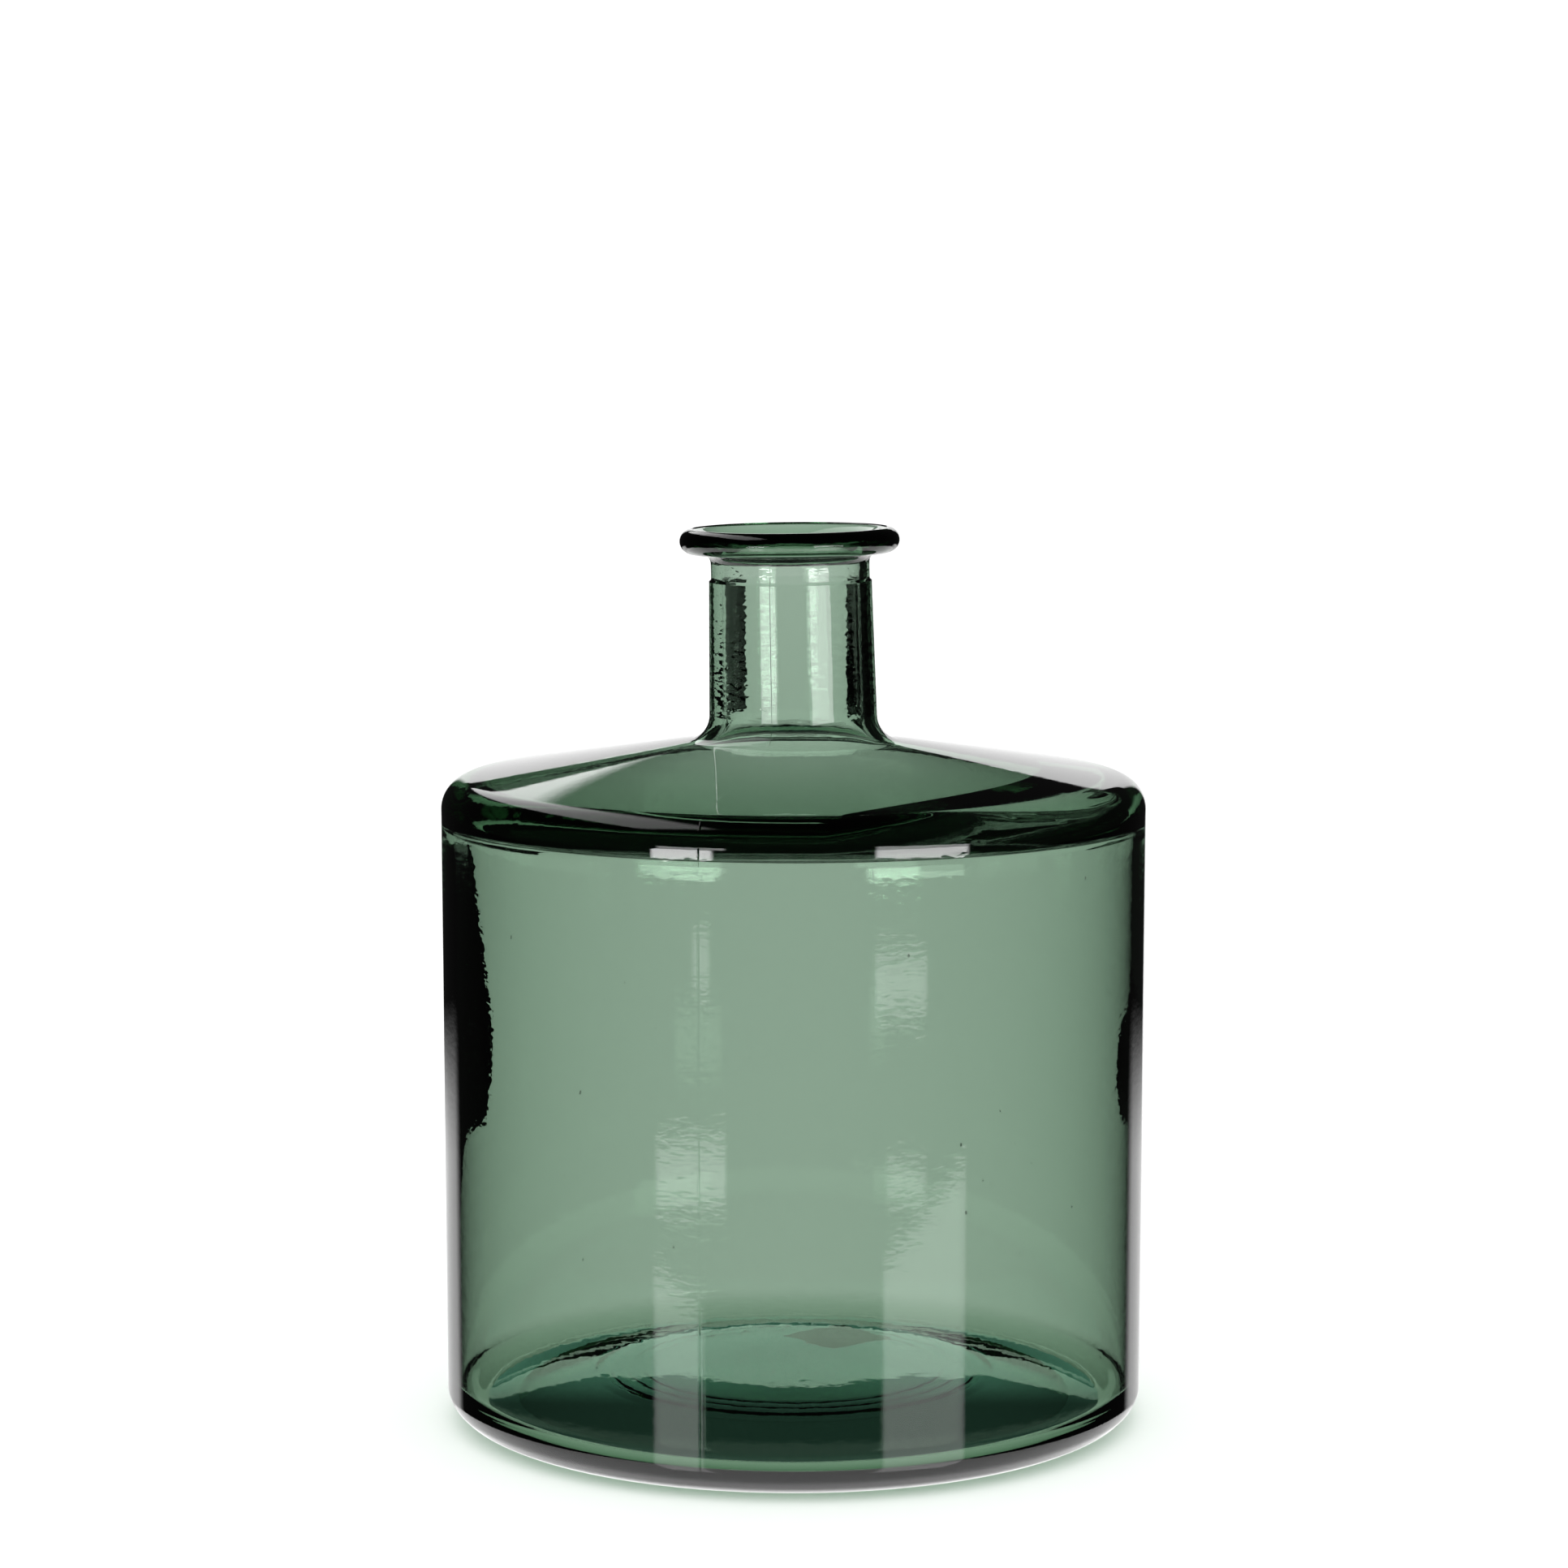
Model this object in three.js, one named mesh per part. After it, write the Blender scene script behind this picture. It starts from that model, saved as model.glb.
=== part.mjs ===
// Flat-shouldered glass bottle with a short neck and a rolled lip, blown in one piece,
// with a small blank square label under its pushed-up base.
// Millimetres, +Z up, origin at the centre of the foot on the surface it stands on.
import * as THREE from "three";
import { mergeVertices } from "three/addons/utils/BufferGeometryUtils.js";

// Whole bottle
const TOTAL_HEIGHT = 267;
const SHOULDER_RADIUS = 105; // widest, just under the shoulder
const HEEL_RADIUS = 104.4; // the body tapers very slightly down to the heel
const WALL = 4;
const TURN_STEPS = 48; // facets round the axis

// Base, pushed up in the middle so that it stands on a ring
const FOOT_OUTER_RADIUS = 90;
const FOOT_INNER_RADIUS = 83;
const HEEL_HEIGHT = 9.7;
const PUNT_RADIUS = 66; // flat middle of the underside
const PUNT_HEIGHT = 5.3;
const RING_RADII = [45, 49.8, 54.5, 60]; // mould rings under the base
const RING_HALF_WIDTH = 1.3;
const RING_DROP = 0.25;
const FLOOR_CORNER_RADIUS = 8; // round between wall and inner floor
const FLOOR_EDGE_HEIGHT = 7;
const FLOOR_CROWN_RADIUS = 58;
const FLOOR_CROWN_HEIGHT = 12.8;
const FLOOR_CENTRE_HEIGHT = 13.6;

// Shoulder: a shallow cone between a tight outer corner and the neck
const SHOULDER_SLOPE = THREE.MathUtils.degToRad(9.05);
const SHOULDER_APEX = 208.8; // where the outer cone would meet the axis
const SHOULDER_CORNER_RADIUS = 9.3;
const NECK_SHOULDER_WALL = 4; // the shoulder's glass thickens outward from the neck
const CORNER_SHOULDER_WALL = 7.45;
const INNER_CORNER_START = 91; // radius where the inside begins to turn down
const INNER_CORNER_END = [100.5, 181];
const INNER_CORNER_SLOPE = THREE.MathUtils.degToRad(54); // as it meets the wall
const INNER_CORNER_PULLS = [4, 4.1]; // how far each end's direction is felt
const WALL_TOP_DROP = 2.4; // below the inner corner, to where the wall is WALL thick

// Neck and lip
const NECK_BASE_RADIUS = 25;
const NECK_TOP_RADIUS = 24.2;
const NECK_FILLET_RADIUS = 7.8;
const NECK_WALL = 3.7;
const BAND_RADIUS = 23.6; // slightly drawn-in band under the lip
const BAND_BOTTOM = 252;
const BAND_STEP = 0.5;
const LIP_RADIUS = 32.75;
const LIP_HALF_HEIGHT = 3.7;
const LIP_FILLET_RADIUS = 3;
const MOUTH_ROUND_WIDTH = 8.5;
const MOUTH_ROUND_HEIGHT = 9;
const MOUTH_DROP = 0.3; // inner edge of the mouth below the top of the lip

// The neck was finished by hand, so it leans and its lip is not quite level
const NECK_START = 205;
const NECK_LEAN = THREE.MathUtils.degToRad(1.2);
const LIP_TILT = THREE.MathUtils.degToRad(0.7);

// Label
const LABEL_SIDE = 24;
const LABEL_THICKNESS = 0.3;
const LABEL_GAP = 0.3;
const LABEL_CENTRE = [13.7, 46];
const LABEL_TURN = THREE.MathUtils.degToRad(40);

const point = (radius, height) => new THREE.Vector2(radius, height);

// Points on an ellipse's arc, angles in degrees from +radius towards +height.
function arc(radius, height, halfWidth, halfHeight, from, to, steps) {
  const points = [];
  for (let i = 0; i <= steps; i++) {
    const angle = THREE.MathUtils.degToRad(from + ((to - from) * i) / steps);
    const across = halfWidth * Math.cos(angle);
    const up = halfHeight * Math.sin(angle);
    points.push(point(radius + across, height + up));
  }
  return points;
}

// Height of a shoulder cone, given where it meets the axis, at a radius.
const coneHeight = (apex, radius) => apex - radius * Math.tan(SHOULDER_SLOPE);

// Centre height of a round of the given signed radius that touches the cone: positive
// below the cone (outer corner), negative above it (fillet to the neck).
function touchingHeight(apex, centreRadius, roundRadius) {
  return coneHeight(apex, centreRadius) - roundRadius / Math.cos(SHOULDER_SLOPE);
}

const slopeDegrees = THREE.MathUtils.radToDeg(SHOULDER_SLOPE);
const filletCentre = NECK_BASE_RADIUS + NECK_FILLET_RADIUS;
const filletHeight = touchingHeight(SHOULDER_APEX, filletCentre, -NECK_FILLET_RADIUS);
const lipMiddle = TOTAL_HEIGHT - LIP_HALF_HEIGHT;

function undersideOutline() {
  const points = [point(0, PUNT_HEIGHT)];
  for (const ring of RING_RADII) {
    points.push(point(ring - RING_HALF_WIDTH, PUNT_HEIGHT));
    points.push(point(ring, PUNT_HEIGHT - RING_DROP));
    points.push(point(ring + RING_HALF_WIDTH, PUNT_HEIGHT));
  }
  points.push(point(PUNT_RADIUS, PUNT_HEIGHT));
  points.push(point(FOOT_INNER_RADIUS, 0));
  return points;
}

function outerOutline() {
  const heelWidth = HEEL_RADIUS - FOOT_OUTER_RADIUS;
  const heel = arc(FOOT_OUTER_RADIUS, HEEL_HEIGHT, heelWidth, HEEL_HEIGHT, -90, 0, 6);
  const cornerCentre = SHOULDER_RADIUS - SHOULDER_CORNER_RADIUS;
  const cornerHeight = touchingHeight(SHOULDER_APEX, cornerCentre, SHOULDER_CORNER_RADIUS);
  const corner = arc(
    cornerCentre, cornerHeight,
    SHOULDER_CORNER_RADIUS, SHOULDER_CORNER_RADIUS,
    0, 90 - slopeDegrees, 6,
  );
  const fillet = arc(
    filletCentre, filletHeight,
    NECK_FILLET_RADIUS, NECK_FILLET_RADIUS,
    270 - slopeDegrees, 180, 5,
  );
  const lipFillet = arc(
    BAND_RADIUS + LIP_FILLET_RADIUS,
    lipMiddle - LIP_HALF_HEIGHT - LIP_FILLET_RADIUS,
    LIP_FILLET_RADIUS, LIP_FILLET_RADIUS,
    180, 100, 3,
  );
  const lipCentre = LIP_RADIUS - LIP_HALF_HEIGHT;
  const lip = arc(lipCentre, lipMiddle, LIP_HALF_HEIGHT, LIP_HALF_HEIGHT, -80, 90, 7);
  return [
    ...heel,
    ...corner,
    ...fillet,
    point(NECK_TOP_RADIUS, BAND_BOTTOM - BAND_STEP),
    point(BAND_RADIUS, BAND_BOTTOM),
    ...lipFillet,
    ...lip,
  ];
}

// Height of the underside of the shoulder's glass at a radius.
function shoulderUnderside(radius) {
  const share = (radius - filletCentre) / (INNER_CORNER_START - filletCentre);
  const wall = NECK_SHOULDER_WALL + (CORNER_SHOULDER_WALL - NECK_SHOULDER_WALL) * share;
  return coneHeight(SHOULDER_APEX - wall / Math.cos(SHOULDER_SLOPE), radius);
}

// The inside of the shoulder's corner, one smooth curve from the shoulder down to the wall.
function innerCorner() {
  const start = point(INNER_CORNER_START, shoulderUnderside(INNER_CORNER_START));
  const before = point(INNER_CORNER_START - 1, shoulderUnderside(INNER_CORNER_START - 1));
  const ahead = start.clone().sub(before).setLength(INNER_CORNER_PULLS[0]);
  const end = point(...INNER_CORNER_END);
  const back = point(-Math.cos(INNER_CORNER_SLOPE), Math.sin(INNER_CORNER_SLOPE));
  back.multiplyScalar(INNER_CORNER_PULLS[1]);
  const curve = new THREE.CubicBezierCurve(start, start.clone().add(ahead), end.clone().add(back), end);
  return curve.getPoints(7);
}

function innerOutline() {
  const boreRadius = NECK_TOP_RADIUS - NECK_WALL;
  const mouth = arc(
    boreRadius + MOUTH_ROUND_WIDTH,
    TOTAL_HEIGHT - MOUTH_ROUND_HEIGHT - MOUTH_DROP,
    MOUTH_ROUND_WIDTH, MOUTH_ROUND_HEIGHT,
    90, 180, 5,
  );
  const innerFilletRadius = NECK_FILLET_RADIUS + NECK_SHOULDER_WALL;
  const fillet = arc(
    filletCentre, filletHeight,
    innerFilletRadius, innerFilletRadius,
    180, 270 - slopeDegrees, 5,
  );
  const wallTop = point(SHOULDER_RADIUS - WALL, INNER_CORNER_END[1] - WALL_TOP_DROP);
  const wallFootRadius = HEEL_RADIUS - WALL;
  const floorCorner = arc(
    wallFootRadius - FLOOR_CORNER_RADIUS,
    FLOOR_EDGE_HEIGHT + FLOOR_CORNER_RADIUS,
    FLOOR_CORNER_RADIUS, FLOOR_CORNER_RADIUS,
    0, -98, 6,
  );
  return [
    ...mouth,
    ...fillet,
    ...innerCorner(),
    wallTop,
    ...floorCorner,
    point(FLOOR_CROWN_RADIUS, FLOOR_CROWN_HEIGHT),
    point(FLOOR_CROWN_RADIUS * 0.55, FLOOR_CENTRE_HEIGHT - 0.1),
    point(0, FLOOR_CENTRE_HEIGHT),
  ];
}

// Leans what is above the shoulder and tips the lip with it.
function leanNeck(geometry) {
  const position = geometry.getAttribute("position");
  for (let i = 0; i < position.count; i++) {
    const above = position.getZ(i) - NECK_START;
    if (above <= 0) continue;
    const share = Math.min(1, above / (BAND_BOTTOM - NECK_START));
    const tip = position.getX(i) * Math.tan(LIP_TILT) * share;
    position.setX(i, position.getX(i) - above * Math.tan(NECK_LEAN));
    position.setZ(i, position.getZ(i) + tip);
  }
}

function bottle() {
  const outline = [...undersideOutline(), ...outerOutline(), ...innerOutline()];
  const turned = new THREE.LatheGeometry(outline, TURN_STEPS);
  turned.deleteAttribute("normal");
  turned.deleteAttribute("uv");
  turned.rotateX(Math.PI / 2);
  turned.rotateZ(Math.PI / TURN_STEPS); // a facet, not an edge, faces each side
  const geometry = mergeVertices(turned, 1e-3);
  leanNeck(geometry);
  geometry.computeVertexNormals();
  const material = new THREE.MeshStandardMaterial({
    color: 0x8da490, roughness: 0.05, metalness: 0, transparent: true, opacity: 0.5,
  });
  const mesh = new THREE.Mesh(geometry, material);
  mesh.name = "bottle";
  return mesh;
}

function baseLabel() {
  const geometry = new THREE.BoxGeometry(LABEL_SIDE, LABEL_SIDE, LABEL_THICKNESS);
  const material = new THREE.MeshStandardMaterial({
    color: 0x9aa39c, roughness: 0.85, metalness: 0,
  });
  const mesh = new THREE.Mesh(geometry, material);
  const top = PUNT_HEIGHT - RING_DROP - LABEL_GAP;
  mesh.position.set(...LABEL_CENTRE, top - LABEL_THICKNESS / 2);
  mesh.rotation.z = LABEL_TURN;
  mesh.name = "base_label";
  return mesh;
}

const carboy = new THREE.Group();
carboy.add(bottle(), baseLabel());

export default carboy;
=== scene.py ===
import math
import random

import bpy
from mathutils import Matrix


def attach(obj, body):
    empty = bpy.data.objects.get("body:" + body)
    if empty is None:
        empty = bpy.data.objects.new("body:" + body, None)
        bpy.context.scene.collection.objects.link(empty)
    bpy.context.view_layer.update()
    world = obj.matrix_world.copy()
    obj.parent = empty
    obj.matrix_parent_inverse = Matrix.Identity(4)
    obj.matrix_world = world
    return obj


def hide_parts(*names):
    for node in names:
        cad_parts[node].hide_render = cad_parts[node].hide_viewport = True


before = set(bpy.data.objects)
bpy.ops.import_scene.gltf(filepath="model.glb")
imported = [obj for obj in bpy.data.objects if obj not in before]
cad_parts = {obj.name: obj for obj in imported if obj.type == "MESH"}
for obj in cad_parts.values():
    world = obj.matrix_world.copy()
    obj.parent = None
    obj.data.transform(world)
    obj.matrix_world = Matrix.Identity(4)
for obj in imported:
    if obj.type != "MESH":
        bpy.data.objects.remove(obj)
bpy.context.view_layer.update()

# A green blown-glass bottle with a flat shoulder, a short neck and a rolled lip, and the
# paper label under its base. Both stand in for the CAD nodes in the same places.

scene = bpy.context.scene
MM = 0.001

# Outside of the bottle, in millimetres
TOTAL_HEIGHT = 267.0
SHOULDER_RADIUS = 104.9
HEEL_RADIUS = 104.3
FOOT_OUTER_RADIUS = 90.0
FOOT_INNER_RADIUS = 83.0
HEEL_HEIGHT = 9.7
HEEL_WAVE = 0.06  # depth and number of the faint steps up the heel's round
HEEL_WAVES = 4
SHOULDER_SLOPE = math.radians(9.05)
SHOULDER_APEX = 208.8  # where the shoulder's cone would meet the axis
SHOULDER_CORNER_RADIUS = 9.3
NECK_BASE_RADIUS = 25.0
NECK_TOP_RADIUS = 24.2
NECK_FILLET_RADIUS = 7.8
BAND_RADIUS = 23.6  # slightly drawn-in band under the lip
BAND_BOTTOM = 252.0
BAND_STEP = 0.5
BAND_EDGE = 0.25  # keeps the shading of the band's step within its own edge
LIP_RADIUS = 32.7
LIP_HALF_HEIGHT = 3.7
LIP_FILLET_RADIUS = 3.0

# Underside, pushed up by hand and a little off centre, with fine mould rings
PUNT_RADIUS = 57.5
PUNT_HEIGHT = 5.3
PUNT_SHIFT = 11.0
RING_RADII = (45.0, 49.8, 54.5, 60.0)
RING_HALF_WIDTH = 1.2
RING_DROP = 0.06

# Inside of the bottle
WALL = 4.0
NECK_WALL = 3.7
NECK_SHOULDER_WALL = 4.0
CORNER_SHOULDER_WALL = 7.45
CORNER_START = 91.0  # radius where the inside begins to turn down
KINK_RADIUS = 100.5  # where the inner corner meets the wall
KINK_HEIGHT = 181.0
KINK_SLOPE = math.radians(54)
KINK_PULLS = (4.0, 4.1)  # how far each end's direction is felt
KINK_BENDS = ((0.12, 0.6), (0.25, 1.2))  # out and down from the kink
WALL_TOP = (0.1, 2.4)  # in from the wall and down from the kink
MOUTH_ROUND_WIDTH = 8.5
MOUTH_ROUND_HEIGHT = 9.0
MOUTH_DROP = 0.3  # mouth's inner edge below the top of the lip
FLOOR_CORNER_RADIUS = 8.0
FLOOR_CORNER_END = -98  # in degrees, a little past straight down
FLOOR_EDGE_HEIGHT = 7.0
FLOOR_CROWN_RADIUS = 58.0
FLOOR_CROWN_HEIGHT = 12.8
FLOOR_MIDDLE_SHARE = 0.55
FLOOR_MIDDLE_DROP = 0.1
FLOOR_CENTRE_HEIGHT = 13.6

# The shoulder's glass is thinner on the right-hand side, outward from an edge that curves
# in from the corner; turns are in degrees from the front
THIN_TURNS = (-1.0, 100.0)
THIN_NEAREST = 72.0
THIN_SPREAD = 26.5
THIN_FADE = 24.0
THIN_RATE = 0.053
THIN_LEAST_COSINE = 0.5
THIN_EDGE = 0.15
THIN_MARGINS = (2.0, 0.4)  # kept from the neck's fillet and from the corner

# Neck set a little out of true
NECK_START = 205.0
NECK_LEAN = math.radians(1.2)
LIP_TILT = math.radians(0.7)

# Mould seams, one on each side, in degrees round from the front
SEAM_TURNS = (-14.8, 165.2)
SEAM_HEIGHT = 0.13
SEAM_HALF_WIDTH = 0.3
SEAM_BOTTOM = 6.0
SEAM_TOP = 258.0

# Seeds, the small air bubbles left in the glass
SEED_COUNT = 34
SEED_RADII = (0.12, 0.32)
SEED_HEIGHTS = (20.0, 172.0)
SEED_DEPTH = 2.3
SEED_STRETCH = 1.7
SEED_TURNS = 8
SEED_LEVELS = 6
SEED_NUMBER = 7

# How many steps each stretch of the outline takes
TURN_STEPS = 192
FLAT_STEPS = 6
RING_STEPS = 60
FOOT_STEPS = 10
HEEL_STEPS = 48
WALL_STEPS = 40
ROUND_STEPS = 24
SHOULDER_STEPS = 16
FILLET_STEPS = 14
LIP_FILLET_STEPS = 8
BEFORE_THIN_STEPS = 12
AFTER_THIN_STEPS = 6
INNER_CORNER_STEPS = 16
FLOOR_CORNER_STEPS = 20
FLOOR_STEPS = 8
CROWN_STEPS = 4

SLOPE_DEGREES = math.degrees(SHOULDER_SLOPE)
SEAM_HALF_TURN = math.degrees(SEAM_HALF_WIDTH / SHOULDER_RADIUS)
FILLET_CENTRE = NECK_BASE_RADIUS + NECK_FILLET_RADIUS
LIP_MIDDLE = TOTAL_HEIGHT - LIP_HALF_HEIGHT


def cone_height(apex, radius):
    """Height of a shoulder cone at a radius."""
    return apex - radius * math.tan(SHOULDER_SLOPE)


def touching_height(apex, centre_radius, round_radius):
    """Centre height of a round that touches the cone; negative rounds lie above it."""
    return cone_height(apex, centre_radius) - round_radius / math.cos(SHOULDER_SLOPE)


FILLET_HEIGHT = touching_height(SHOULDER_APEX, FILLET_CENTRE, -NECK_FILLET_RADIUS)


def arc(radius, height, half_width, half_height, start, end, steps):
    """Points on an upright elliptical arc, as (radius, height), angles in degrees."""
    points = []
    for i in range(steps + 1):
        angle = math.radians(start + (end - start) * i / steps)
        across = half_width * math.cos(angle)
        up = half_height * math.sin(angle)
        points.append((radius + across, height + up))
    return points


def line(start, end, steps):
    """Points between two ends, leaving both ends out."""
    points = []
    for i in range(1, steps):
        share = i / steps
        radius = start[0] + (end[0] - start[0]) * share
        height = start[1] + (end[1] - start[1]) * share
        points.append((radius, height))
    return points


def curve(knots, steps):
    """Points on a cubic curve through its first and last knots."""
    points = []
    for i in range(steps + 1):
        t = i / steps
        weights = ((1 - t) ** 3, 3 * t * (1 - t) ** 2, 3 * t * t * (1 - t), t ** 3)
        points.append(tuple(sum(w * k[axis] for w, k in zip(weights, knots)) for axis in (0, 1)))
    return points


def punt_height(radius):
    """Height of the pushed-up underside above the table, rings included."""
    fall = PUNT_HEIGHT / (FOOT_INNER_RADIUS - PUNT_RADIUS)
    height = PUNT_HEIGHT - fall * max(0.0, radius - PUNT_RADIUS)
    for ring in RING_RADII:
        across = (radius - ring) / RING_HALF_WIDTH
        if abs(across) < 1:
            height -= RING_DROP * (0.5 + 0.5 * math.cos(math.pi * across))
    return height


def punt_shift(radius):
    """How far back the underside lies at a radius."""
    return PUNT_SHIFT * (1 - (radius / FOOT_INNER_RADIUS) ** 4)


def underside():
    """From the middle of the base to the inner edge of the foot."""
    points = [(RING_RADII[0] * i / FLAT_STEPS, PUNT_HEIGHT) for i in range(FLAT_STEPS)]
    first = RING_RADII[0] - RING_HALF_WIDTH
    last = RING_RADII[-1] + RING_HALF_WIDTH
    for i in range(RING_STEPS + 1):
        radius = first + (last - first) * i / RING_STEPS
        points.append((radius, punt_height(radius)))
    foot = (FOOT_INNER_RADIUS, 0.0)
    return [*points, *line(points[-1], foot, FOOT_STEPS), foot]


def heel_side():
    """The rounded heel, with its faint steps."""
    width = HEEL_RADIUS - FOOT_OUTER_RADIUS
    plain = arc(FOOT_OUTER_RADIUS, HEEL_HEIGHT, width, HEEL_HEIGHT, -90, 0, HEEL_STEPS)
    heel = []
    for i, point in enumerate(plain):
        share = i / HEEL_STEPS
        wave = HEEL_WAVE * math.sin(math.pi * share) * math.cos(2 * math.pi * HEEL_WAVES * share)
        heel.append((point[0] + wave, point[1]))
    return heel


def shoulder_side():
    """The shoulder's corner, its cone and the fillet to the neck."""
    radius = SHOULDER_CORNER_RADIUS
    centre = SHOULDER_RADIUS - radius
    height = touching_height(SHOULDER_APEX, centre, radius)
    corner = arc(centre, height, radius, radius, 0, 90 - SLOPE_DEGREES, ROUND_STEPS)
    radius = NECK_FILLET_RADIUS
    fillet = arc(FILLET_CENTRE, FILLET_HEIGHT, radius, radius, 270 - SLOPE_DEGREES, 180, FILLET_STEPS)
    return [*corner, *line(corner[-1], fillet[0], SHOULDER_STEPS), *fillet]


def lip_side():
    """The drawn-in band, the fillet under the lip and the lip's own round."""
    radius = LIP_FILLET_RADIUS
    under = LIP_MIDDLE - LIP_HALF_HEIGHT - radius
    fillet = arc(BAND_RADIUS + radius, under, radius, radius, 180, 100, LIP_FILLET_STEPS)
    radius = LIP_HALF_HEIGHT
    lip = arc(LIP_RADIUS - radius, LIP_MIDDLE, radius, radius, -80, 90, ROUND_STEPS)
    return [
        (NECK_TOP_RADIUS, BAND_BOTTOM - BAND_STEP - BAND_EDGE),
        (NECK_TOP_RADIUS, BAND_BOTTOM - BAND_STEP),
        (BAND_RADIUS, BAND_BOTTOM),
        (BAND_RADIUS, BAND_BOTTOM + BAND_EDGE),
        *fillet,
        *lip,
    ]


def outer_side():
    """From the foot up to the top of the lip."""
    heel = heel_side()
    shoulder = shoulder_side()
    lip = lip_side()
    return [
        *heel,
        *line(heel[-1], shoulder[0], WALL_STEPS),
        *shoulder,
        *line(shoulder[-1], lip[1], FILLET_STEPS),
        *lip,
    ]


def is_thin(turn):
    """Whether the shoulder's glass thins outward at a turn."""
    return THIN_TURNS[0] < turn < THIN_TURNS[1]


def thin_start(turn):
    """Radius at which the shoulder begins to thin outward."""
    return THIN_NEAREST + THIN_SPREAD * math.exp(-(turn - THIN_TURNS[0]) / THIN_FADE)


def shoulder_underside(radius, turn):
    """Height of the underside of the shoulder's glass."""
    growth = (CORNER_SHOULDER_WALL - NECK_SHOULDER_WALL) / (CORNER_START - FILLET_CENTRE)
    wall = NECK_SHOULDER_WALL + growth * (radius - FILLET_CENTRE)
    height = cone_height(SHOULDER_APEX - wall / math.cos(SHOULDER_SLOPE), radius)
    if is_thin(turn):
        past = max(0.0, radius - thin_start(turn))
        rate = THIN_RATE / max(math.cos(math.radians(turn)), THIN_LEAST_COSINE)
        height += (rate + growth) * past
    return height


def shoulder_inside(turn):
    """Underside of the shoulder, with extra points where it starts to thin."""
    begin = thin_start(turn) if is_thin(turn) else CORNER_START
    begin = min(max(begin, FILLET_CENTRE + THIN_MARGINS[0]), CORNER_START - THIN_MARGINS[1])
    steps = BEFORE_THIN_STEPS
    radii = [FILLET_CENTRE + (begin - FILLET_CENTRE) * i / steps for i in range(1, steps)]
    radii += [begin - THIN_EDGE, begin, begin + THIN_EDGE]
    steps = AFTER_THIN_STEPS
    radii += [begin + (CORNER_START - begin) * i / steps for i in range(2, steps + 1)]
    return [(radius, shoulder_underside(radius, turn)) for radius in radii]


def inner_corner(before, start):
    """Smooth curve from the shoulder's underside to the kink above the wall."""
    reach = math.hypot(start[0] - before[0], start[1] - before[1])
    ahead = ((start[0] - before[0]) / reach, (start[1] - before[1]) / reach)
    start_pull, end_pull = KINK_PULLS
    knots = (
        start,
        (start[0] + start_pull * ahead[0], start[1] + start_pull * ahead[1]),
        (KINK_RADIUS - end_pull * math.cos(KINK_SLOPE), KINK_HEIGHT + end_pull * math.sin(KINK_SLOPE)),
        (KINK_RADIUS, KINK_HEIGHT),
    )
    return curve(knots, INNER_CORNER_STEPS)[1:]


def mouth_and_neck():
    """The mouth's round, the bore and the inside of the neck's fillet."""
    bore = NECK_TOP_RADIUS - NECK_WALL
    mouth = arc(
        bore + MOUTH_ROUND_WIDTH, TOTAL_HEIGHT - MOUTH_ROUND_HEIGHT - MOUTH_DROP,
        MOUTH_ROUND_WIDTH, MOUTH_ROUND_HEIGHT, 90, 180, FILLET_STEPS,
    )
    radius = NECK_FILLET_RADIUS + NECK_SHOULDER_WALL
    fillet = arc(FILLET_CENTRE, FILLET_HEIGHT, radius, radius, 180, 270 - SLOPE_DEGREES, FILLET_STEPS)
    return [*mouth, *line(mouth[-1], fillet[0], FILLET_STEPS), *fillet]


def wall_and_floor():
    """The inside from the top of the wall to the middle of the floor."""
    top = (SHOULDER_RADIUS - WALL - WALL_TOP[0], KINK_HEIGHT - WALL_TOP[1])
    radius = FLOOR_CORNER_RADIUS
    corner = arc(
        HEEL_RADIUS - WALL - radius, FLOOR_EDGE_HEIGHT + radius,
        radius, radius, 0, FLOOR_CORNER_END, FLOOR_CORNER_STEPS,
    )
    crown = (FLOOR_CROWN_RADIUS, FLOOR_CROWN_HEIGHT)
    middle = (FLOOR_CROWN_RADIUS * FLOOR_MIDDLE_SHARE, FLOOR_CENTRE_HEIGHT - FLOOR_MIDDLE_DROP)
    centre = (0.0, FLOOR_CENTRE_HEIGHT)
    return [
        top,
        *line(top, corner[0], WALL_STEPS),
        *corner,
        *line(corner[-1], crown, FLOOR_STEPS),
        crown,
        *line(crown, middle, CROWN_STEPS),
        middle,
        *line(middle, centre, CROWN_STEPS),
        centre,
    ]


def inner_side(turn):
    """From the mouth down the inside to the middle of the floor."""
    shoulder = shoulder_inside(turn)
    bends = [(KINK_RADIUS + out, KINK_HEIGHT - down) for out, down in KINK_BENDS]
    return [
        *mouth_and_neck(),
        *shoulder,
        *inner_corner(*shoulder[-2:]),
        *bends,
        *wall_and_floor(),
    ]


def lean(x, y, z):
    """Moves a point of the neck to where the leaning neck has it."""
    above = z - NECK_START
    if above <= 0:
        return x, y, z
    share = min(1.0, above / (BAND_BOTTOM - NECK_START))
    return x - above * math.tan(NECK_LEAN), y, z + x * math.tan(LIP_TILT) * share


def turns():
    """Every turn that has a column of vertices, closer together at the seams."""
    found = [360 * k / TURN_STEPS - 180 for k in range(TURN_STEPS)]
    for seam in SEAM_TURNS:
        found += [seam + SEAM_HALF_TURN * step for step in (-2, -1, 0, 1, 2)]
    return sorted(found)


def seam_rise(turn, height):
    """How far a mould seam stands out of the glass."""
    if not SEAM_BOTTOM < height < SEAM_TOP:
        return 0.0
    nearest = min(abs(turn - seam) for seam in SEAM_TURNS)
    return SEAM_HEIGHT * max(0.0, 1 - nearest / SEAM_HALF_TURN)


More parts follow.
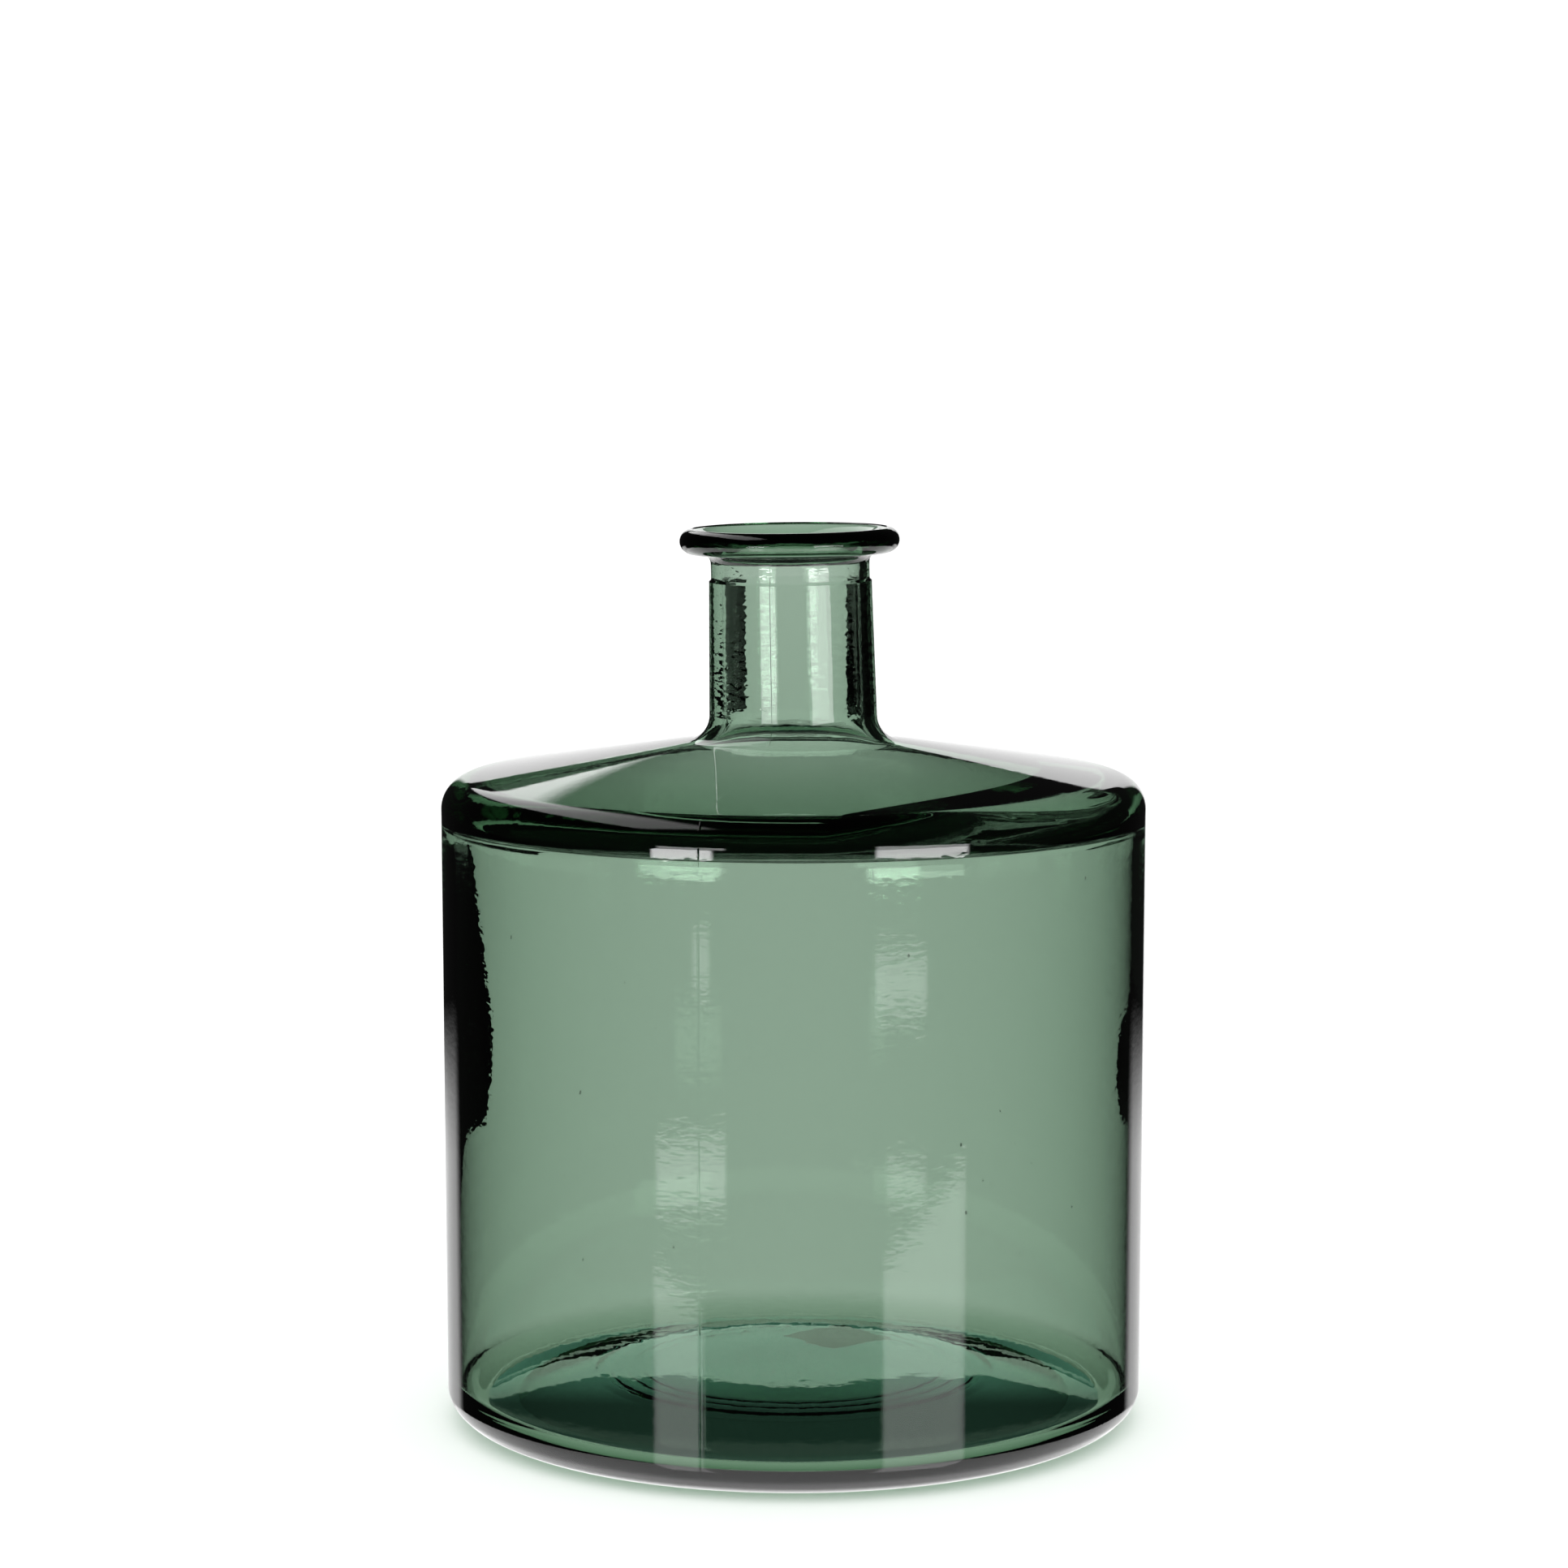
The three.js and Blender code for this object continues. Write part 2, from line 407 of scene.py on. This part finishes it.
def add_seed(vertices, faces, centre, size):
    """Adds one bubble, a closed shell that faces inwards because it holds no glass."""
    first = len(vertices)
    for level in range(1, SEED_LEVELS):
        polar = math.pi * level / SEED_LEVELS
        for k in range(SEED_TURNS):
            around = 2 * math.pi * k / SEED_TURNS
            vertices.append((
                centre[0] + size * math.sin(polar) * math.cos(around),
                centre[1] + size * math.sin(polar) * math.sin(around),
                centre[2] + size * SEED_STRETCH * math.cos(polar),
            ))
    top = len(vertices)
    vertices.append((centre[0], centre[1], centre[2] + size * SEED_STRETCH))
    vertices.append((centre[0], centre[1], centre[2] - size * SEED_STRETCH))
    last = first + (SEED_LEVELS - 2) * SEED_TURNS
    for k in range(SEED_TURNS):
        n = (k + 1) % SEED_TURNS
        faces.append((top, first + n, first + k))
        faces.append((top + 1, last + k, last + n))
        for row in range(first, last, SEED_TURNS):
            below = row + SEED_TURNS
            faces.append((row + k, row + n, below + n, below + k))


def add_seeds(vertices, faces):
    """Adds the bubbles inside the wall."""
    chance = random.Random(SEED_NUMBER)
    radius = SHOULDER_RADIUS - SEED_DEPTH
    for _ in range(SEED_COUNT):
        turn = chance.uniform(-math.pi, math.pi)
        height = chance.uniform(*SEED_HEIGHTS)
        size = chance.uniform(*SEED_RADII)
        add_seed(vertices, faces, (radius * math.sin(turn), -radius * math.cos(turn), height), size)


def turned_rows(vertices):
    """Adds the outline at every turn, and returns a row of vertex numbers for each point."""
    under = underside()
    outside = outer_side()
    columns = []
    for turn in turns():
        raised = [(radius + seam_rise(turn, height), height) for radius, height in outside]
        columns.append((math.radians(turn), under + raised + inner_side(turn)))
    rows = []
    for i, (first_radius, first_height) in enumerate(columns[0][1]):
        back = punt_shift(first_radius) if i < len(under) else 0.0
        if first_radius == 0:
            rows.append([len(vertices)] * len(columns))
            vertices.append((0.0, back, first_height))
            continue
        rows.append([len(vertices) + k for k in range(len(columns))])
        for angle, outline in columns:
            radius, height = outline[i]
            vertices.append((radius * math.sin(angle), back - radius * math.cos(angle), height))
    return rows


def bottle_mesh(name):
    """The whole bottle: one turned skin, and the seeds inside its wall."""
    vertices = []
    faces = []
    rows = turned_rows(vertices)
    for low, high in zip(rows, rows[1:]):
        count = len(low)
        for k in range(count):
            n = (k + 1) % count
            corners = (low[k], low[n], high[n], high[k])
            faces.append(tuple(dict.fromkeys(corners)))
    add_seeds(vertices, faces)
    mesh = bpy.data.meshes.new(name)
    mesh.from_pydata([tuple(c * MM for c in lean(*v)) for v in vertices], [], faces)
    mesh.validate()
    mesh.polygons.foreach_set("use_smooth", [True] * len(mesh.polygons))
    return mesh


def connect(tree, socket, value):
    """Sets a socket to a number, or links it to another node's output."""
    if isinstance(value, (int, float)):
        socket.default_value = value
    else:
        tree.links.new(value, socket)


def calculate(tree, operation, *values):
    """A maths node of numbers and other nodes' outputs."""
    node = tree.nodes.new("ShaderNodeMath")
    node.operation = operation
    for socket, value in zip(node.inputs, values):
        connect(tree, socket, value)
    return node.outputs[0]


def remap(tree, value, limits, results, smooth=True):
    """Takes a value from one range to another, and holds it at the ends."""
    node = tree.nodes.new("ShaderNodeMapRange")
    if smooth:
        node.interpolation_type = "SMOOTHSTEP"
    node.inputs["From Min"].default_value = limits[0]
    node.inputs["From Max"].default_value = limits[1]
    node.inputs["To Min"].default_value = results[0]
    node.inputs["To Max"].default_value = results[1]
    tree.links.new(value, node.inputs["Value"])
    return node.outputs["Result"]


def inside(tree, value, limits):
    """1 where the value lies between two limits, else 0."""
    middle = (limits[0] + limits[1]) / 2
    return calculate(tree, "COMPARE", value, middle, limits[1] - middle)


def bump(tree, height, strength, distance):
    """Tilts the surface by a height, and links the result to the shader."""
    node = tree.nodes.new("ShaderNodeBump")
    node.inputs["Strength"].default_value = strength
    node.inputs["Distance"].default_value = distance
    tree.links.new(height, node.inputs["Height"])
    tree.links.new(node.outputs["Normal"], tree.nodes["Principled BSDF"].inputs["Normal"])


# Green glass; each metre absorbs the density times what the colour is short of white
GLASS_COLOUR = (0.03, 0.33, 0.1, 1)
GLASS_DENSITY = 150.0
GLASS_IOR = 1.5

# Ripple of the blown surface, in metres; it is stronger from the neck's foot upwards
RIPPLE_SCALE = 240.0
RIPPLE_DETAIL = 1.5
RIPPLE_FLATTENING = 2.2
RIPPLE_DEPTH = 0.000009
RIPPLE_RISE = (0.204, 0.215)
NECK_RIPPLE = 4.6

# Stippled patch moulded under the base, in metres; its pits are deeper than the ripple
STIPPLE_X = (-0.018, 0.017)
STIPPLE_Y = (-0.006, 0.034)
STIPPLE_Z = (-0.0056, 0.0056)
STIPPLE_SCALE = 620.0
STIPPLE_PIT = (0.12, 0.34)
STIPPLE_DEPTH = 5.0


def ripple_height(tree, coordinates, parts):
    """Long soft waves, flattened so that they run round the bottle."""
    flatten = tree.nodes.new("ShaderNodeMapping")
    flatten.inputs["Scale"].default_value = (1.0, 1.0, RIPPLE_FLATTENING)
    tree.links.new(coordinates.outputs["Object"], flatten.inputs["Vector"])
    ripple = tree.nodes.new("ShaderNodeTexNoise")
    ripple.inputs["Scale"].default_value = RIPPLE_SCALE
    ripple.inputs["Detail"].default_value = RIPPLE_DETAIL
    tree.links.new(flatten.outputs["Vector"], ripple.inputs["Vector"])
    depth = remap(tree, parts.outputs["Z"], RIPPLE_RISE, (1.0, NECK_RIPPLE))
    return calculate(tree, "MULTIPLY", ripple.outputs["Fac"], depth)


def stipple_height(tree, coordinates, parts):
    """Scattered pits on the stippled patch."""
    grain = tree.nodes.new("ShaderNodeTexVoronoi")
    grain.inputs["Scale"].default_value = STIPPLE_SCALE
    tree.links.new(coordinates.outputs["Object"], grain.inputs["Vector"])
    pits = remap(tree, grain.outputs["Distance"], STIPPLE_PIT, (STIPPLE_DEPTH, 0.0))
    patch = inside(tree, parts.outputs["X"], STIPPLE_X)
    patch = calculate(tree, "MULTIPLY", patch, inside(tree, parts.outputs["Y"], STIPPLE_Y))
    patch = calculate(tree, "MULTIPLY", patch, inside(tree, parts.outputs["Z"], STIPPLE_Z))
    return calculate(tree, "MULTIPLY", patch, pits)


def glass_material():
    """Clear surface, green absorbing glass within, ripple and stipple as bump."""
    material = bpy.data.materials.new("green_glass")
    material.use_nodes = True
    tree = material.node_tree
    shader = tree.nodes["Principled BSDF"]
    shader.inputs["Base Color"].default_value = (1, 1, 1, 1)
    shader.inputs["Transmission Weight"].default_value = 1.0
    shader.inputs["IOR"].default_value = GLASS_IOR
    shader.inputs["Roughness"].default_value = 0.0
    volume = tree.nodes.new("ShaderNodeVolumeAbsorption")
    volume.inputs["Color"].default_value = GLASS_COLOUR
    volume.inputs["Density"].default_value = GLASS_DENSITY
    tree.links.new(volume.outputs["Volume"], tree.nodes["Material Output"].inputs["Volume"])
    coordinates = tree.nodes.new("ShaderNodeTexCoord")
    parts = tree.nodes.new("ShaderNodeSeparateXYZ")
    tree.links.new(coordinates.outputs["Object"], parts.inputs[0])
    waves = ripple_height(tree, coordinates, parts)
    pits = stipple_height(tree, coordinates, parts)
    bump(tree, calculate(tree, "ADD", waves, pits), 1.0, RIPPLE_DEPTH)
    return material


# Paper label stuck under the base, in millimetres
LABEL_SIDE = 24.0
LABEL_CENTRE = (13.7, 46.0)
LABEL_TURN = math.radians(40)
LABEL_GAP = 0.3
LABEL_THICKNESS = 0.12
LABEL_STEPS = 12

# Uncoated paper in dark grey tones, which are painted shade for the little light under the base
FIBRE_SCALE = 900.0
FIBRE_DETAIL = 6.0
PAPER_SHADED_TONES = ((0.3, (0.16, 0.18, 0.17, 1)), (0.7, (0.26, 0.29, 0.27, 1)))
PAPER_ROUGHNESS = (0.75, 0.95)
PAPER_SHEEN = 0.3
TOOTH_STRENGTH = 0.4
TOOTH_DEPTH = 0.00005


def label_point(i, k, lift):
    """A point of the label's grid, in metres."""
    u = (i / LABEL_STEPS - 0.5) * LABEL_SIDE
    v = (k / LABEL_STEPS - 0.5) * LABEL_SIDE
    x = LABEL_CENTRE[0] + u * math.cos(LABEL_TURN) - v * math.sin(LABEL_TURN)
    y = LABEL_CENTRE[1] + u * math.sin(LABEL_TURN) + v * math.cos(LABEL_TURN)
    z = PUNT_HEIGHT - LABEL_GAP + lift
    return x * MM, y * MM, z * MM


def label_rim(across):
    """Numbers of the grid's outer vertices, in order round it."""
    last = LABEL_STEPS
    rim = [i * across for i in range(across)]
    rim += [last * across + k for k in range(1, across)]
    rim += [i * across + last for i in range(last - 1, -1, -1)]
    rim += list(range(last - 1, 0, -1))
    return rim


def label_mesh(name):
    """A thin square sheet just under the glass."""
    vertices = []
    faces = []
    across = LABEL_STEPS + 1
    for lift in (0.0, -LABEL_THICKNESS):
        for i in range(across):
            vertices += [label_point(i, k, lift) for k in range(across)]
    sheet_size = across * across
    for i in range(LABEL_STEPS):
        for k in range(LABEL_STEPS):
            a = i * across + k
            top = (a, a + across, a + across + 1, a + 1)
            faces.append(top)
            faces.append(tuple(n + sheet_size for n in reversed(top)))
    rim = label_rim(across)
    for a, b in zip(rim, rim[1:] + rim[:1]):
        faces.append((b, a, a + sheet_size, b + sheet_size))
    mesh = bpy.data.meshes.new(name)
    mesh.from_pydata(vertices, [], faces)
    mesh.validate()
    return mesh


def paper_material():
    """Uncoated paper: fibres, a mottled tone painted dark grey as shade, and a fine tooth."""
    material = bpy.data.materials.new("label_paper")
    material.use_nodes = True
    tree = material.node_tree
    shader = tree.nodes["Principled BSDF"]
    shader.inputs["Specular IOR Level"].default_value = PAPER_SHEEN
    coordinates = tree.nodes.new("ShaderNodeTexCoord")
    fibres = tree.nodes.new("ShaderNodeTexNoise")
    fibres.inputs["Scale"].default_value = FIBRE_SCALE
    fibres.inputs["Detail"].default_value = FIBRE_DETAIL
    tree.links.new(coordinates.outputs["Object"], fibres.inputs["Vector"])
    # Dark grey tones: painted shade of the label under the base
    tone = tree.nodes.new("ShaderNodeValToRGB")
    for stop, (position, colour) in zip(tone.color_ramp.elements, PAPER_SHADED_TONES):
        stop.position = position
        stop.color = colour
    tree.links.new(fibres.outputs["Fac"], tone.inputs["Fac"])
    tree.links.new(tone.outputs["Color"], shader.inputs["Base Color"])
    matt = remap(tree, fibres.outputs["Fac"], (0.0, 1.0), PAPER_ROUGHNESS, smooth=False)
    tree.links.new(matt, shader.inputs["Roughness"])
    bump(tree, fibres.outputs["Fac"], TOOTH_STRENGTH, TOOTH_DEPTH)
    return material


def add_piece(name, mesh, material):
    """Puts a piece of the object in the scene."""
    piece = bpy.data.objects.new(name, mesh)
    scene.collection.objects.link(piece)
    mesh.materials.append(material)
    return piece


bottle = add_piece("glass_bottle", bottle_mesh("glass_bottle"), glass_material())
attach(bottle, "root")
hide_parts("bottle")

label = add_piece("paper_label", label_mesh("paper_label"), paper_material())
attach(label, "root")
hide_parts("base_label")

# Camera, in metres; its lens and sensor are in millimetres
CAMERA_DISTANCE = 1.3096
CAMERA_HEIGHT = 0.3444
CAMERA_PITCH = math.radians(6.699)
CAMERA_SIDE = -0.0029
CAMERA_LENS = 101.58
CAMERA_SENSOR = 36


def add_camera():
    """The camera in front of the bottle, looking slightly down."""
    data = bpy.data.cameras.new("camera")
    data.lens = CAMERA_LENS
    data.sensor_width = CAMERA_SENSOR
    camera = bpy.data.objects.new("camera", data)
    camera.location = (CAMERA_SIDE, -CAMERA_DISTANCE, CAMERA_HEIGHT)
    camera.rotation_euler = (math.radians(90) - CAMERA_PITCH, 0, 0)
    scene.collection.objects.link(camera)
    scene.camera = camera


add_camera()

# The table, in metres
FLOOR_REACH = 6.0
FLOOR_SHADE = 0.92
FLOOR_ROUGHNESS = 0.9

# Painted shade: black sheets for the dark room beyond the table, seen only through the glass, given as
# corners on the floor
DARK_RISE = 0.0005
DARK_PATCHES = {
    "dark_left": [
        (-0.41, 1.45), (-0.385, 1.322), (-0.315, 1.09), (-0.269, 0.946), (-0.233, 0.818),
        (-0.204, 0.703), (-0.186, 0.599), (-0.177, 0.522), (-0.172, 0.444), (-0.192, 0.426),
        (-0.217, 0.406), (-0.224, 0.354), (-0.230, 0.240), (-1.6, 0.24), (-1.6, 1.45),
    ],
    "dark_far_left": [
        (-0.24, 1.62), (-0.259, 1.958), (-0.28, 2.2), (-0.303, 2.47), (-0.329, 2.79), (-0.48, 4.9),
        (-1.9, 4.9), (-0.95, 2.4), (-0.78, 1.62),
    ],
    "dark_right": [
        (0.9, 0.72), (0.40, 0.70), (0.284, 0.664), (0.247, 0.587), (0.223, 0.513), (0.228, 0.438),
        (0.29, 0.40), (0.9, 0.36),
    ],
    "dark_far_right": [
        (0.30, 1.62), (0.374, 2.055), (0.432, 2.31), (0.503, 2.61), (0.59, 2.96), (1.0, 5.4),
        (2.2, 5.4), (2.2, 1.62),
    ],
}

# Painted light under the base: a glowing sheet, seen only through the glass, for what comes through
# from behind; its fading towards the front is painted shade
UNDER_RADIUS = 0.0925
UNDER_CORNERS = 48
UNDER_RISE = 0.0002
UNDER_COLOUR = (0.50, 0.80, 0.84, 1)
UNDER_FADE = (-0.020, 0.022)
UNDER_STRENGTHS = (0.18, 1.0)


def stage_sheet(name, corners, material, through_glass_only=False):
    """A flat sheet of the studio; some are seen only through the glass, where they paint shade and
    light.
    """
    mesh = bpy.data.meshes.new(name)
    mesh.from_pydata(corners, [], [tuple(range(len(corners)))])
    mesh.materials.append(material)
    made = bpy.data.objects.new(name, mesh)
    scene.collection.objects.link(made)
    made.visible_glossy = False
    if through_glass_only:
        made.visible_camera = False
        made.visible_diffuse = False
        made.visible_shadow = False
    else:
        made.visible_transmission = False


def plain_material(name, shade, roughness):
    """Matt grey with no shine."""
    material = bpy.data.materials.new(name)
    material.use_nodes = True
    shader = material.node_tree.nodes["Principled BSDF"]
    shader.inputs["Base Color"].default_value = (shade, shade, shade, 1)
    shader.inputs["Roughness"].default_value = roughness
    shader.inputs["Specular IOR Level"].default_value = 0.0
    return material


def under_material():
    """A painted glow, weaker towards the front as painted shade."""
    material = bpy.data.materials.new("painted_under_light")
    material.use_nodes = True
    tree = material.node_tree
    tree.nodes.remove(tree.nodes["Principled BSDF"])
    glow = tree.nodes.new("ShaderNodeEmission")
    glow.inputs["Color"].default_value = UNDER_COLOUR
    tree.links.new(glow.outputs[0], tree.nodes["Material Output"].inputs["Surface"])
    coordinates = tree.nodes.new("ShaderNodeTexCoord")
    parts = tree.nodes.new("ShaderNodeSeparateXYZ")
    tree.links.new(coordinates.outputs["Object"], parts.inputs[0])
    strength = remap(tree, parts.outputs["Y"], UNDER_FADE, UNDER_STRENGTHS)
    tree.links.new(strength, glow.inputs["Strength"])
    return material


def add_stage():
    """The white floor, painted shade for the dark room beyond it and painted light under the base."""
    reach = FLOOR_REACH
    corners = [(-reach, -reach, 0), (reach, -reach, 0), (reach, reach, 0), (-reach, reach, 0)]
    stage_sheet("floor", corners, plain_material("floor_white", FLOOR_SHADE, FLOOR_ROUGHNESS))
    # Painted shade: black sheets that only the glass shows
    black = plain_material("painted_shade_black", 0.0, 1.0)
    for name, outline in DARK_PATCHES.items():
        stage_sheet(name, [(x, y, DARK_RISE) for x, y in outline], black, through_glass_only=True)
    # Painted light under the base, seen only through the glass, with painted shade towards the front
    angles = [2 * math.pi * i / UNDER_CORNERS for i in range(UNDER_CORNERS)]
    rim = [(UNDER_RADIUS * math.cos(a), UNDER_RADIUS * math.sin(a), UNDER_RISE) for a in angles]
    stage_sheet("floor_under", rim, under_material(), through_glass_only=True)


add_stage()

# Studio light, in degrees of azimuth from straight behind the bottle and of elevation.
# What is seen directly is white paper; what the glass bends or mirrors is set apart.
PAPER_WHITE = 1.35
UNDER_GLASS = 1.7
CEILING_DARK = 0.01
PALE_TOP = 9.5
PALE_LIGHT = 0.96

# The paper behind, as the outside mirrors it: left, right, its top on the left and on the
# right, how far out those are, and brightness
OUTSIDE_PALE = (-9.0, 14.0, 9.2, 12.6, 6.0, 1.15)

# The floor at the sides, as the outside mirrors it: left, right, top and brightness
EDGE_FLOOR = (-35.0, 35.0, -10.6, 1.0)

# What the inside mirrors, above and at the neck's outer edges: left, right, bottom, top,
# softness at the sides and brightness
INSIDE_PALE = (-18.0, 18.0, 6.0, 15.0, 3.0, 1.7)
NECK_EDGE = (-110.0, 18.0, -7.4, 1.0, 1.5, 0.96)

# The floor in front: its top, and its brightness mirrored by the inside and by the outside
NEAR_FLOOR = (-17.5, 1.0, 1.6)

# How softly the edges of these fade, in degrees
PALE_EDGE = 0.3
PALE_SIDE = 1.5
INSIDE_EDGE = 0.2
EDGE_FLOOR_EDGE = 1.2
EDGE_FLOOR_SIDE = 4.0
NEAR_EDGE = 1.0
SOFTBOX_EDGE = 0.15
SOFTBOX_SIDE = 1.0

# Each softbox as the glass mirrors it: left and right azimuth, bottom and top elevation,
# how much the top rises for each degree of azimuth, and brightness
SOFTBOXES = (
    (-158, -136, -5.4, 0.5, 0.0, 4.3),
    (-154, -134, -7.4, -6.0, 0.0, 13.0),
    (-153, -147, -9.7, -9.0, 0.0, 2.0),
    (-158, -135, -12.5, -11.7, 0.0, 2.3),
    (-151, -134, -40.0, -13.6, 0.035, 1.9),
    (123, 154, -5.6, 3.0, 0.2, 5.0),
    (123, 154, -7.2, -5.6, 0.0, 11.0),
    (137, 154, -10.0, -9.3, 0.0, 2.2),
    (137, 150, -12.4, -12.0, 0.0, 1.8),
    (123, 151, -40.0, -12.6, -0.05, 1.9),
)

# Strip lamp overhead, on a ceiling one unit up: left, right, near, far and brightness;
# then how softly it ends, and how high above the horizon it has to be
STRIP_LIGHT = (-0.80, -0.34, -0.35, 4.0, 1.6)
STRIP_SIDE = 0.04
STRIP_END = 0.1
STRIP_LEAST_HEIGHT = 0.02
STRIP_HORIZON = (0.1, 0.02)


def step_up(tree, value, edge, softness):
    """0 below the edge and 1 above it."""
    shifted = calculate(tree, "SUBTRACT", value, edge)
    return remap(tree, shifted, (-softness, softness), (0.0, 1.0))


def step_down(tree, value, edge, softness):
    """1 below the edge and 0 above it."""
    return step_up(tree, calculate(tree, "SUBTRACT", edge, value), 0, softness)


def between(tree, value, low, high, softness):
    """1 between two edges and 0 beyond them."""
    rise = step_up(tree, value, low, softness)
    fall = calculate(tree, "SUBTRACT", 1, step_up(tree, value, high, softness))
    return calculate(tree, "MULTIPLY", rise, fall)


def mix(tree, factor, first, second):
    """The first value where the factor is 0, the second where it is 1."""
    node = tree.nodes.new("ShaderNodeMix")
    for socket, value in zip(node.inputs[:1] + node.inputs[2:4], (factor, first, second)):
        connect(tree, socket, value)
    return node.outputs[0]


def softbox(tree, azimuth, elevation, numbers):
    """One softbox, its top edge sloping if it is asked to."""
    left, right, bottom, top, slant, brightness = numbers
    across = between(tree, azimuth, left, right, SOFTBOX_SIDE)
    rise = step_up(tree, elevation, bottom, SOFTBOX_EDGE)
    middle = (left + right) / 2
    leaned = calculate(tree, "MULTIPLY", calculate(tree, "SUBTRACT", azimuth, middle), slant)
    level = calculate(tree, "SUBTRACT", elevation, leaned)
    fall = calculate(tree, "SUBTRACT", 1, step_up(tree, level, top, SOFTBOX_EDGE))
    shape = calculate(tree, "MULTIPLY", across, calculate(tree, "MULTIPLY", rise, fall))
    return calculate(tree, "MULTIPLY", shape, brightness)


def outside_mirrored(tree, azimuth, elevation):
    """The pale paper behind and the floor at the sides, as the outside mirrors them."""
    left, right, left_top, right_top, out, brightness = OUTSIDE_PALE
    top = remap(tree, azimuth, (-out, out), (left_top, right_top), smooth=False)
    under_edge = step_down(tree, elevation, top, PALE_EDGE)
    behind = calculate(tree, "MULTIPLY", under_edge, between(tree, azimuth, left, right, PALE_SIDE))
    paper = calculate(tree, "MULTIPLY", behind, brightness)
    left, right, top, brightness = EDGE_FLOOR
    low = step_down(tree, elevation, top, EDGE_FLOOR_EDGE)
    sides = between(tree, azimuth, left, right, EDGE_FLOOR_SIDE)
    floor = calculate(tree, "MULTIPLY", calculate(tree, "MULTIPLY", low, sides), brightness)
    return calculate(tree, "MAXIMUM", paper, floor)


def inside_pale(tree, azimuth, elevation, numbers):
    """One pale stretch that the inside of the glass mirrors."""
    left, right, bottom, top, softness, brightness = numbers
    across = between(tree, azimuth, left, right, softness)
    upright = between(tree, elevation, bottom, top, INSIDE_EDGE)
    shape = calculate(tree, "MULTIPLY", across, upright)
    return calculate(tree, "MULTIPLY", shape, brightness)


def near_floor(tree, elevation, outside):
    """The floor in front of the bottle."""
    top, inner_brightness, outer_brightness = NEAR_FLOOR
    shape = step_down(tree, elevation, top, NEAR_EDGE)
    return calculate(tree, "MULTIPLY", shape, mix(tree, outside, inner_brightness, outer_brightness))


def strip_lamp(tree, direction, outside):
    """The lamp overhead, mirrored only by the outside."""
    x, y, z = direction
    left, right, near, far, brightness = STRIP_LIGHT
    height = calculate(tree, "MAXIMUM", z, STRIP_LEAST_HEIGHT)
    across = between(tree, calculate(tree, "DIVIDE", x, height), left, right, STRIP_SIDE)
    along = between(tree, calculate(tree, "DIVIDE", y, height), near, far, STRIP_END)
    shape = calculate(tree, "MULTIPLY", across, along)
    for factor in (step_up(tree, z, *STRIP_HORIZON), outside, brightness):
        shape = calculate(tree, "MULTIPLY", shape, factor)
    return shape


def mirrored_light(tree, direction, azimuth, elevation, outside):
    """All that the glass mirrors, from its outside and from within."""
    above = inside_pale(tree, azimuth, elevation, INSIDE_PALE)
    edge = inside_pale(tree, azimuth, elevation, NECK_EDGE)
    within = calculate(tree, "MAXIMUM", above, edge)
    without = outside_mirrored(tree, azimuth, elevation)
    light = calculate(tree, "MAXIMUM", mix(tree, outside, within, without), CEILING_DARK)
    light = calculate(tree, "MAXIMUM", light, near_floor(tree, elevation, outside))
    for numbers in SOFTBOXES:
        light = calculate(tree, "ADD", light, softbox(tree, azimuth, elevation, numbers))
    return calculate(tree, "ADD", light, strip_lamp(tree, direction, outside))


def studio_world():
    """White paper seen directly, and what the glass bends and mirrors set apart."""
    world = bpy.data.worlds.new("studio")
    world.use_nodes = True
    tree = world.node_tree
    coordinates = tree.nodes.new("ShaderNodeTexCoord")
    parts = tree.nodes.new("ShaderNodeSeparateXYZ")
    tree.links.new(coordinates.outputs["Generated"], parts.inputs[0])
    x, y, z = parts.outputs
    azimuth = calculate(tree, "MULTIPLY", calculate(tree, "ARCTAN2", x, y), math.degrees(1))
    elevation = calculate(tree, "MULTIPLY", calculate(tree, "ARCSINE", z), math.degrees(1))
    path = tree.nodes.new("ShaderNodeLightPath")
    outside = calculate(tree, "LESS_THAN", path.outputs["Transmission Depth"], 0.5)

    paper = calculate(tree, "MULTIPLY", step_down(tree, elevation, PALE_TOP, PALE_EDGE), PALE_LIGHT)
    through = calculate(tree, "MAXIMUM", paper, CEILING_DARK)
    mirrored = mirrored_light(tree, (x, y, z), azimuth, elevation, outside)
    reflected = calculate(tree, "GREATER_THAN", path.outputs["Glossy Depth"], 0.5)
    light = mix(tree, reflected, through, mirrored)
    from_floor = calculate(tree, "GREATER_THAN", path.outputs["Diffuse Depth"], 0.5)
    light = mix(tree, from_floor, light, UNDER_GLASS)
    plain = calculate(tree, "MAXIMUM", path.outputs["Is Camera Ray"], path.outputs["Is Diffuse Ray"])
    light = mix(tree, plain, light, PAPER_WHITE)
    background = tree.nodes["Background"]
    background.inputs["Color"].default_value = (1, 1, 1, 1)
    tree.links.new(light, background.inputs["Strength"])
    world.cycles.sampling_method = "NONE"
    scene.world = world


studio_world()

# Light has to cross the glass many times
GLASS_BOUNCES = 24
MIRROR_BOUNCES = 12
scene.view_settings.view_transform = "Standard"
scene.cycles.max_bounces = GLASS_BOUNCES
scene.cycles.transmission_bounces = GLASS_BOUNCES
scene.cycles.glossy_bounces = MIRROR_BOUNCES
scene.cycles.blur_glossy = 0.0
